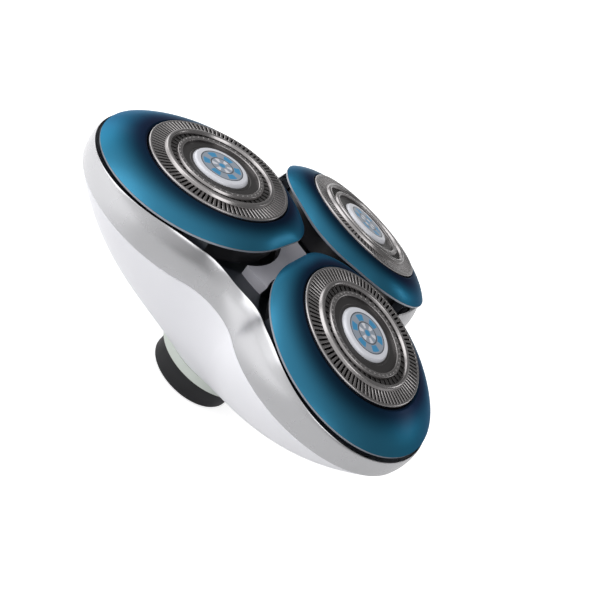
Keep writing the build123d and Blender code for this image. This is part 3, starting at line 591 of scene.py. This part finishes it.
class SHAVER_OT_rim_band(bpy.types.Operator):
    """Rim band: satin silver wall with a thin lip that dips round each head"""

    bl_idname = "shaver.rim_band"
    bl_label = "Rim band"

    @staticmethod
    def under_ring(points, drop):
        """Height of the plane of the lobe's ring foot, less a drop."""
        lobe = COLUMNS[3]
        out = points[..., 0] * np.cos(lobe) + points[..., 1] * np.sin(lobe) - HEAD_OFFSET
        return CAP_PLANE + (RING_FOOT - sin(HEAD_TILT) * out) / cos(HEAD_TILT) - drop

    @staticmethod
    def lower(level, plane, soft):
        """The lower of two heights, with a smooth turn from one to the other: a hyperbola that
        nears both."""
        gap = plane - level
        return level + 0.5 * (gap - np.sqrt(gap**2 + soft**2))

    @classmethod
    def crest(cls, points):
        """Height of the thin lip round the rings: a level that dips with a smooth step over
        the 22 degrees next to each waist, or a plane just under the ring's foot where that
        is lower."""
        sector = radians(120)
        turn = np.mod(np.arctan2(points[..., 1], points[..., 0]) - radians(30), sector)
        share = np.clip(np.minimum(turn, sector - turn) / radians(22), 0, 1)
        level = RIM_DIP + (RIM_CREST - RIM_DIP) * share**2 * (3 - 2 * share)
        return cls.lower(level, cls.under_ring(points, RIM_LIP_GAP), 0.3)

    @classmethod
    def ledge(cls, points):
        """Height of the ledge inside the lip: the solid's own flat top, or its dip under a
        ring."""
        return cls.lower(RIM_TOP, cls.under_ring(points, RIM_DROP), 0.4)

    def execute(self, context):
        lip, seam = RIM_LIP_WIDTH, sizes().seam
        c, r, w = smooth_sections(RIM_SECTIONS, RIM_OUTLINE)
        edge = self.crest(lobed_rows(c, r, w, RIM_OUTLINE))

        # Outside wall, then the lip: a quarter turn up to its edge and a quarter turn down
        low = SEAM + seam
        wall = low + np.linspace(0, 1, 22)[:, None] * (edge - RIM_LIP_ROUND - low)
        turn = np.linspace(0, pi, 15)[1:, None]
        bend = edge - np.where(turn < pi / 2, RIM_LIP_ROUND, lip) * (1 - np.sin(turn))
        heights = np.concatenate([np.full((1, wall.shape[1]), SEAM), wall, bend])
        inset = np.concatenate([
            np.full((1, 1), seam), np.zeros((len(wall), 1)), lip * (1 - np.cos(turn)) / 2,
        ])
        c, r, w = smooth_sections(RIM_SECTIONS, heights)
        rows = [lobed_rows(c, r - inset, w - inset, heights)]

        # Ledge, from the lip's foot to the inner wall, and that wall
        c, r, w = smooth_sections(RIM_SECTIONS, RIM_TOP)
        ci, ri, wi = RIM_INSIDE
        for centre, radius, waist, drop in (
            (c, r - lip, w - lip, 0.0), (c, r - lip - 0.1, w - lip - 0.1, 0.06),
            (ci, ri + 0.06, wi + 0.06, 0.08), (ci, ri, wi, 0.2),
        ):
            line = lobed_rows(centre, radius, waist, 0.0)
            line[..., 2] = self.ledge(line) - drop
            rows.append(line[None])
        rows.append(lobed_rows(ci, ri, wi, SEAM)[None])
        material = finish(
            "satin silver", colours().rim, 0.27, metallic=1.0, grain=6000, bump=0.015,
            variation=0.04, shift=0.01)
        piece = Surface().add(np.concatenate(rows)).build("rim_band_skin", [material], sharp=50)
        seat(piece, "housing", "rim_band")
        return {"FINISHED"}


class SHAVER_OT_domed_rings(bpy.types.Operator):
    """Domed rings: egg-shaped outlines that close in on the cap's round bore"""

    bl_idname = "shaver.domed_rings"
    bl_label = "Domed rings"

    @staticmethod
    def egg(large, large_shift, small, small_shift, height):
        """Rows of the outline round two circles: each point stands off its circle's centre
        along the outline's outward direction, and a straight run joins the two arcs."""
        large, large_shift, small, small_shift, height = (
            v[:, None] for v in (large, large_shift, small, small_shift, height))
        turn = np.arccos(-(large - small) / (large_shift - small_shift))
        big = np.linspace(-1, 1, 121)[None] * turn
        little = np.linspace(0, 1, 25)[None] * (2 * pi - 2 * turn) + turn
        far = np.stack([large_shift + large * np.cos(big), large * np.sin(big)], -1)
        near = np.stack([small_shift + small * np.cos(little), small * np.sin(little)], -1)
        t = np.linspace(0, 1, 8)[None, 1:-1, None]
        first = far[:, -1:] * (1 - t) + near[:, :1] * t
        last = near[:, -1:] * (1 - t) + far[:, :1] * t
        flat = np.concatenate([far, first, near, last], 1)
        heights = np.broadcast_to(height[..., None], flat.shape[:2] + (1,))
        return np.concatenate([flat, heights], -1)

    @classmethod
    def section(cls, share, height, inset=0.0):
        """Rows of the egg between the ring's foot, at share 0, and its top, at share 1: the
        radii and shifts of its circles change evenly."""
        share, height, inset = (
            np.asarray(v, float) for v in np.broadcast_arrays(share, height, inset))
        foot, top = EGG_FOOT[:, None], EGG_TOP[:, None]
        large, large_shift, small, small_shift = foot + (top - foot) * share
        return cls.egg(large - inset, large_shift, small - inset, small_shift, height)

    def execute(self, context):
        edge = RING_FOOT + RING_LIP
        share = np.r_[0, 0.008, 0.03, np.linspace(0.06, 0.94, 40), 0.975, 0.993]
        fall = 0.7 * (1 - share) + 0.3 * (1 - share) ** 3
        dome = self.section(share, RING_TOP - (RING_TOP - edge) * fall)
        lip = self.section(
            0, np.array([RING_FOOT, RING_FOOT + 0.06, RING_FOOT + 0.2, edge - 0.04]),
            np.array([0.12, 0.03, 0.0, 0.0]))
        groove = self.section(0, np.array([edge - 0.04, edge]), 0.1)
        brim = self.section(
            1, np.array([RING_TOP - 0.01, RING_TOP - 0.06]), np.array([0.06, 0.2]))
        polar = np.arctan2(brim[-1, :, 1], brim[-1, :, 0])

        def circle(radius, height):
            """A row on a circle, in the directions of the brim's points."""
            return np.stack([
                radius * np.cos(polar), radius * np.sin(polar), height + 0 * polar,
            ], -1)[None]

        step_radius, step = RING_STEP
        painted = np.concatenate([
            groove[1:], dome, brim, circle(RING_BORE, RING_TOP - 0.2), circle(RING_BORE, step),
        ])
        under = np.concatenate([
            circle(RING_BORE, step), circle(step_radius, step),
            circle(step_radius, RING_FOOT), lip, groove,
        ])
        shares = np.r_[0, share, np.ones(len(painted) - 1 - len(share))]
        round_ = np.linspace(0, 1, painted.shape[1])
        pattern = np.stack(np.broadcast_arrays(shares[:, None], round_[None]), -1)
        paint = finish(
            "blue metallic", colours().ring, 0.36, metallic=0.85, grain=9000, bump=0.08,
            variation=0.03, shift=0.04, coat=0.05, coat_roughness=0.2)
        shader = paint.node_tree.nodes["Principled BSDF"]
        shader.inputs["Specular Tint"].default_value = (0.1, 0.3, 0.45, 1)
        # Painted shade and reflection: the paint fades to a darker colour towards the bore
        fade_colour(paint, 0.2, 0.95, colours().ring_painted_shade)
        # Painted highlight: the pale lip and the ring's underside take this colour in place of
        # the highlight along the foot
        painted_lip_highlight = finish(
            "ring lip painted highlight", colours().ring_lip_painted_highlight, 0.35, metallic=0.3, grain=5000, bump=0.1)
        for number in HEAD_ANGLES:
            surface = Surface()
            surface.add(painted, close_rows=False, pattern=pattern)
            surface.add(under, close_rows=False, slot=1)
            piece = surface.build(
                f"domed_ring_skin_{number}", [paint, painted_lip_highlight], sharp=50, head=number)
            seat(piece, f"head_{number}", f"domed_ring_{number}")
        return {"FINISHED"}


class SHAVER_OT_guard_caps(bpy.types.Operator):
    """Guard caps: a turned rim, a ridge and a dotted ring, with bars between the slots"""

    bl_idname = "shaver.guard_caps"
    bl_label = "Guard caps"

    # Corners of the turned steel, as radius, height and rounding: the rim with its flange, the
    # ridge between the tracks, and the dotted ring. The middle follows by itself, in the darker
    # steel of painted shade.
    RIM = [
        (10.66, 0.0, 0.04), (11.0, 0.0, 0.24), (11.0, -1.95, 0), (11.45, -1.95, 0.04),
        (11.45, -2.4, 0.04), (10.68, -2.4, 0.04), (10.68, -CAP_WALL, 0), (10.6, -CAP_WALL, 0),
        (10.6, -0.04, 0.03),
    ]
    RIDGE = [
        (7.78, -CAP_WALL, 0), (7.78, 0.06, 0.03), (7.98, 0.46, 0.1), (8.24, 0.5, 0.04),
        (8.5, 0.42, 0.12), (8.72, 0.02, 0.05), (8.72, -CAP_WALL, 0),
    ]
    DOTTED_RING = [
        (6.05, -CAP_WALL, 0), (6.05, 0.3, 0.05), (6.2, 0.4, 0.08), (6.78, 0.4, 0.08),
        (6.95, 0.04, 0.04), (6.95, -CAP_WALL, 0),
    ]
    MIDDLE = [
        (2.0, -CAP_WALL, 0), (2.0, 0.0, 0.0), (4.7, 0.0, 0.02), (4.8, -0.07, 0.02),
        (4.9, 0.0, 0.02), (6.1, 0.0, 0), (6.1, -CAP_WALL, 0),
    ]

    @staticmethod
    def bars(count, slot, inner, outer, top, wall, edge=0.05):
        """Radial bars between slots. A bar's half width at a radius is that radius times the
        sine of half a step, less half the slot, and its top edges are bevelled."""
        along = np.linspace(inner, outer, 5)[:, None]
        half = np.maximum(along * sin(pi / count) - slot / 2, 0.02)
        share = np.array([1, 1, 0.72, -0.72, -1, -1])
        drop = np.array([-wall, -edge, 0, 0, -edge, -wall])
        return repeated_round(along, half * share, top + drop, count)

    @staticmethod
    def dots(count, radius, size, top):
        """Small domes on a circle: rows shrink with the cosine and rise with the sine, up to a
        small flat top."""
        up = np.linspace(0, 0.45 * pi, 4)[:, None]
        round_ = np.linspace(0, 2 * pi, 8, endpoint=False)
        x = size * np.cos(up) * np.cos(round_) + radius
        y = size * np.cos(up) * np.sin(round_)
        z = top + 0.6 * size * np.sin(up) - 0.01
        return repeated_round(x, y, z, count)

    def execute(self, context):
        grey = colours().steel
        steel = finish("cap steel", grey, 0.26, metallic=1.0, turned=16, bump=0.25)
        # Painted shade: a copy of the cap steel at a quarter of its brightness, for the recessed
        # middle and the grooved inner track
        dark = finish(
            "cap steel painted shade", [c * 0.25 for c in grey], 0.4, metallic=0.9, turned=20, bump=0.3)
        slots, holes = sizes().slots, sizes().holes
        for number in HEAD_ANGLES:
            surface = Surface()
            # Slot 1 is the darker steel of painted shade: the middle here, and the inner track's
            # bars below
            for corners, slot in (
                (self.RIM, 0), (self.RIDGE, 0), (self.DOTTED_RING, 0), (self.MIDDLE, 1),
            ):
                surface.add(turned_rows(rounded_profile(corners), 180), slot=slot, flip=True)
            surface.add_tubes(self.bars(slots, sizes().slot_width, 8.68, 10.7, 0.0, CAP_WALL))
            surface.add_tubes(self.bars(holes, 0.36, 6.9, 7.82, -0.12, CAP_WALL - 0.12), slot=1)
            surface.add_tubes(self.dots(holes, 6.5, 0.16, 0.4))
            piece = surface.build(
                f"guard_cap_skin_{number}", [steel, dark], sharp=30, head=number)
            seat(piece, f"cap_{number}", f"guard_cap_{number}")
        return {"FINISHED"}


class SHAVER_OT_cap_discs(bpy.types.Operator):
    """Discs on the caps: a low crown with a rounded edge and a printed design"""

    bl_idname = "shaver.cap_discs"
    bl_label = "Cap discs"

    def execute(self, context):
        radius, top, pole = 4.36, 0.53, 0.02
        edge = round_corner((4.06, 0.5), (0, top), (radius, 0.1), 0.2, 7)
        crown = np.linspace(3.8, pole, 16)
        profile = np.r_[
            [(pole, -0.9), (2.0, -0.9), (2.0, 0.0), (radius, 0.0), (radius, 0.08)],
            edge[::-1], np.c_[crown, top - 0.03 * (crown / 4.06) ** 2]]
        rows = turned_rows(profile, 120)
        material = disc_finish(
            "disc silver", colours().disc, colours().design, (0.3, 0.34, 0.4))
        for number in HEAD_ANGLES:
            piece = Surface().add_tubes(rows[None]).build(
                f"cap_disc_skin_{number}", [material], head=number)
            seat(piece, f"cap_{number}", f"cap_disc_{number}")
        return {"FINISHED"}


class SHAVER_OT_coupling(bpy.types.Operator):
    """Coupling collar and the pale ring round the shell's neck"""

    bl_idname = "shaver.coupling"
    bl_label = "Coupling"

    # Corners as radius, height and rounding
    COLLAR = [
        (5.2, 0.0, 0.25), (7.2, 0.0, 0.45), (7.2, 4.0, 0), (7.0, 4.0, 0), (7.0, 8.3, 0),
        (8.0, 8.3, 0), (8.0, 9.4, 0.1), (5.2, 9.4, 0.1), (5.2, 7.4, 0), (3.05, 7.4, 0),
        (3.05, 6.0, 0.1), (5.2, 6.0, 0),
    ]
    NECK_RING = [(7.05, 4.0, 0.05), (8.35, 4.0, 0.3), (8.35, 5.6, 0.12), (7.05, 5.6, 0)]

    def execute(self, context):
        black = finish(
            "black collar", (0.014, 0.014, 0.016), 0.5, grain=3500, bump=0.35,
            variation=0.06, specular=0.3)
        pale = finish(
            "pale neck", (0.6, 0.65, 0.6), 0.4, grain=4000, bump=0.15, variation=0.05,
            shift=0.03)
        for node, corners, material, slot in (
            ("coupling_collar", self.COLLAR, black, "black_plastic"),
            ("neck_ring", self.NECK_RING, pale, "pale_plastic"),
        ):
            rows = turned_rows(rounded_profile(corners), 144)
            piece = Surface().add(rows).build(f"{node}_skin", [material])
            seat(piece, "housing", node)
        return {"FINISHED"}


class SHAVER_OT_cad_pieces(bpy.types.Operator):
    """Finishes of the CAD pieces whose own shape shows, or that lie inside"""

    bl_idname = "shaver.cad_pieces"
    bl_label = "CAD pieces"

    def execute(self, context):
        finishes = {
            "charcoal": finish(
                "charcoal frame", colours().charcoal, 0.42, grain=3500, bump=0.3,
                variation=0.06),
            "silver_grey": finish(
                "bridge silver", (0.74, 0.73, 0.8), 0.34, metallic=0.3, grain=6000,
                bump=0.15, variation=0.05),
            "natural_plastic": finish(
                "natural plastic", (0.62, 0.6, 0.52), 0.4, grain=4000, bump=0.15),
            "screw_steel": finish(
                "screw steel", (0.5, 0.5, 0.5), 0.3, metallic=1.0, grain=6000, bump=0.2),
            "black_plastic": finish(
                "black plastic", (0.012, 0.012, 0.014), 0.38, grain=4000, bump=0.2),
            "seal_rubber": finish(
                "seal rubber", (0.02, 0.02, 0.02), 0.7, grain=3000, bump=0.3),
            "cutter_steel": finish(
                "cutter steel", (0.4, 0.4, 0.4), 0.28, metallic=1.0, grain=8000, bump=0.2),
        }
        slots = {row["node"]: row["material_slot"] for row in frame["record"]["subparts"]}
        for name, node in frame["nodes"].items():
            if not node.hide_render and slots[name] in finishes:
                node.data.materials.clear()
                node.data.materials.append(finishes[slots[name]])
        return {"FINISHED"}


class SHAVER_OT_stage(bpy.types.Operator):
    """White floor, soft lights and the camera"""

    bl_idname = "shaver.stage"
    bl_label = "Stage"

    # Name, place in metres, side in metres and power in watts of each lamp
    LAMPS = (
        ("key light", (-0.52, -0.32, 0.39), 0.6, 1.9),
        ("side light", (-0.5, 0.2, 0.1), 0.3, 0.45),
        ("glint light", (0.3, 0.45, 0.3), 0.1, 0.12),
        ("fill light", (0.4, -0.4, 0.45), 0.4, 1.1),
    )

    @staticmethod
    def plain_rays(tree):
        """The Light Path node, and 1 for the camera's rays and those sent through glass."""
        path = tree.nodes.new("ShaderNodeLightPath")
        rays = path.outputs["Is Camera Ray"], path.outputs["Is Transmission Ray"]
        return path, math_node(tree, "MAXIMUM", *rays)

    @staticmethod
    def coordinates(tree, kind):
        """A texture coordinate, whole and split in three."""
        place = tree.nodes.new("ShaderNodeTexCoord").outputs[kind]
        split = tree.nodes.new("ShaderNodeSeparateXYZ")
        tree.links.new(place, split.inputs[0])
        return place, split

    def floor(self, scene):
        """Pale floor that looks white to the camera. Gloss sees it fade towards the right,
        as beside a studio's white sweep."""
        half, gap = 3.0, 0.0002
        mesh = bpy.data.meshes.new("floor")
        corners = [(-half, -half, 0), (half, -half, 0), (half, half, 0), (-half, half, 0)]
        mesh.from_pydata(corners, [], [(0, 1, 2, 3)])
        floor = bpy.data.objects.new("floor", mesh)
        scene.collection.objects.link(floor)
        floor.location.z = -gap
        material = bpy.data.materials.new("floor white")
        material.use_nodes = True
        tree = material.node_tree
        shader = tree.nodes["Principled BSDF"]
        shader.inputs["Base Color"].default_value = (0.85, 0.85, 0.85, 1)
        shader.inputs["Roughness"].default_value = 0.9
        shader.inputs["Specular IOR Level"].default_value = 0.1
        shader.inputs["Emission Color"].default_value = (1, 1, 1, 1)
        path, plain = self.plain_rays(tree)
        across = self.coordinates(tree, "Object")[1].outputs["X"]
        fade = range_node(tree, across, -0.05, -0.005, 1.0, 0.2)
        glossy = math_node(tree, "MULTIPLY", path.outputs["Is Glossy Ray"], fade)
        seen = math_node(tree, "MAXIMUM", plain, glossy)
        strength = math_node(tree, "MULTIPLY", seen, 0.7)
        tree.links.new(strength, shader.inputs["Emission Strength"])
        mesh.materials.append(material)

    def studio(self, scene):
        """World that looks white to the camera, and lights the object as a dim room with one
        large soft box."""
        world = bpy.data.worlds.new("studio")
        scene.world = world
        world.use_nodes = True
        tree = world.node_tree
        back = tree.nodes["Background"]
        back.inputs["Color"].default_value = (1, 1, 1, 1)
        plain = self.plain_rays(tree)[1]
        place, split = self.coordinates(tree, "Generated")
        towards = tree.nodes.new("ShaderNodeVectorMath")
        towards.operation = "DOT_PRODUCT"
        towards.inputs[1].default_value = Vector((-0.57, -0.65, 0.5)).normalized()
        tree.links.new(place, towards.inputs[0])
        horizon = range_node(tree, split.outputs["Z"], 0.05, 0.4, 0.4, 0.22)
        softbox = range_node(tree, towards.outputs["Value"], -0.1, 0.95, 0.0, 0.7)
        room = math_node(tree, "ADD", horizon, softbox)
        tree.links.new(math_node(tree, "MAXIMUM", plain, room), back.inputs["Strength"])

    def lamps(self, scene):
        """Square lamps that face the middle of the object."""
        aim = Vector((0, 0, 0.022))
        for name, place, side, power in self.LAMPS:
            lamp = bpy.data.lights.new(name, "AREA")
            lamp.size = side
            lamp.energy = power
            light = bpy.data.objects.new(name, lamp)
            scene.collection.objects.link(light)
            light.location = place
            light.rotation_euler = (aim - Vector(place)).to_track_quat("-Z", "Y").to_euler()

    def camera(self, scene):
        """Camera from the front, a little above and rolled by about 45 degrees."""
        camera = bpy.data.objects.new("camera", bpy.data.cameras.new("camera"))
        scene.collection.objects.link(camera)
        camera.data.sensor_width = 36
        camera.data.sensor_fit = "HORIZONTAL"
        camera.data.lens = 67.96
        camera.data.clip_start = 0.005
        camera.location = (0.029624, -0.149222, 0.099111)
        camera.rotation_euler = (radians(54.6333), radians(-39.1060), radians(33.7646))
        scene.camera = camera

    def execute(self, context):
        scene = context.scene
        scene.view_settings.view_transform = "Standard"
        self.floor(scene)
        self.studio(scene)
        self.lamps(scene)
        self.camera(scene)
        return {"FINISHED"}


PIECE_OPERATORS = (
    SHAVER_OT_lower_shell, SHAVER_OT_rim_band, SHAVER_OT_domed_rings, SHAVER_OT_guard_caps,
    SHAVER_OT_cap_discs, SHAVER_OT_coupling, SHAVER_OT_cad_pieces, SHAVER_OT_stage,
)


class SHAVER_PT_panel(bpy.types.Panel):
    """Sidebar panel with the sizes, the colours and a button for each piece"""

    bl_label = "Shaver head"
    bl_idname = "SHAVER_PT_panel"
    bl_space_type = "VIEW_3D"
    bl_region_type = "UI"
    bl_category = "Shaver head"

    def draw(self, context):
        for group in (context.scene.shaver_sizes, context.scene.shaver_colours):
            column = self.layout.column(align=True)
            for name in group.__annotations__:
                column.prop(group, name)
        for operator in PIECE_OPERATORS:
            self.layout.operator(operator.bl_idname)


CLASSES = (ShaverColours, ShaverSizes, *PIECE_OPERATORS, SHAVER_PT_panel)


def register():
    for cls in CLASSES:
        bpy.utils.register_class(cls)
    bpy.types.Scene.shaver_colours = bpy.props.PointerProperty(type=ShaverColours)
    bpy.types.Scene.shaver_sizes = bpy.props.PointerProperty(type=ShaverSizes)


def unregister():
    del bpy.types.Scene.shaver_sizes
    del bpy.types.Scene.shaver_colours
    for cls in reversed(CLASSES):
        bpy.utils.unregister_class(cls)


def main():
    register()
    for operator in PIECE_OPERATORS:
        group, name = operator.bl_idname.split(".")
        getattr(getattr(bpy.ops, group), name)()


if __name__ == "__main__":
    main()
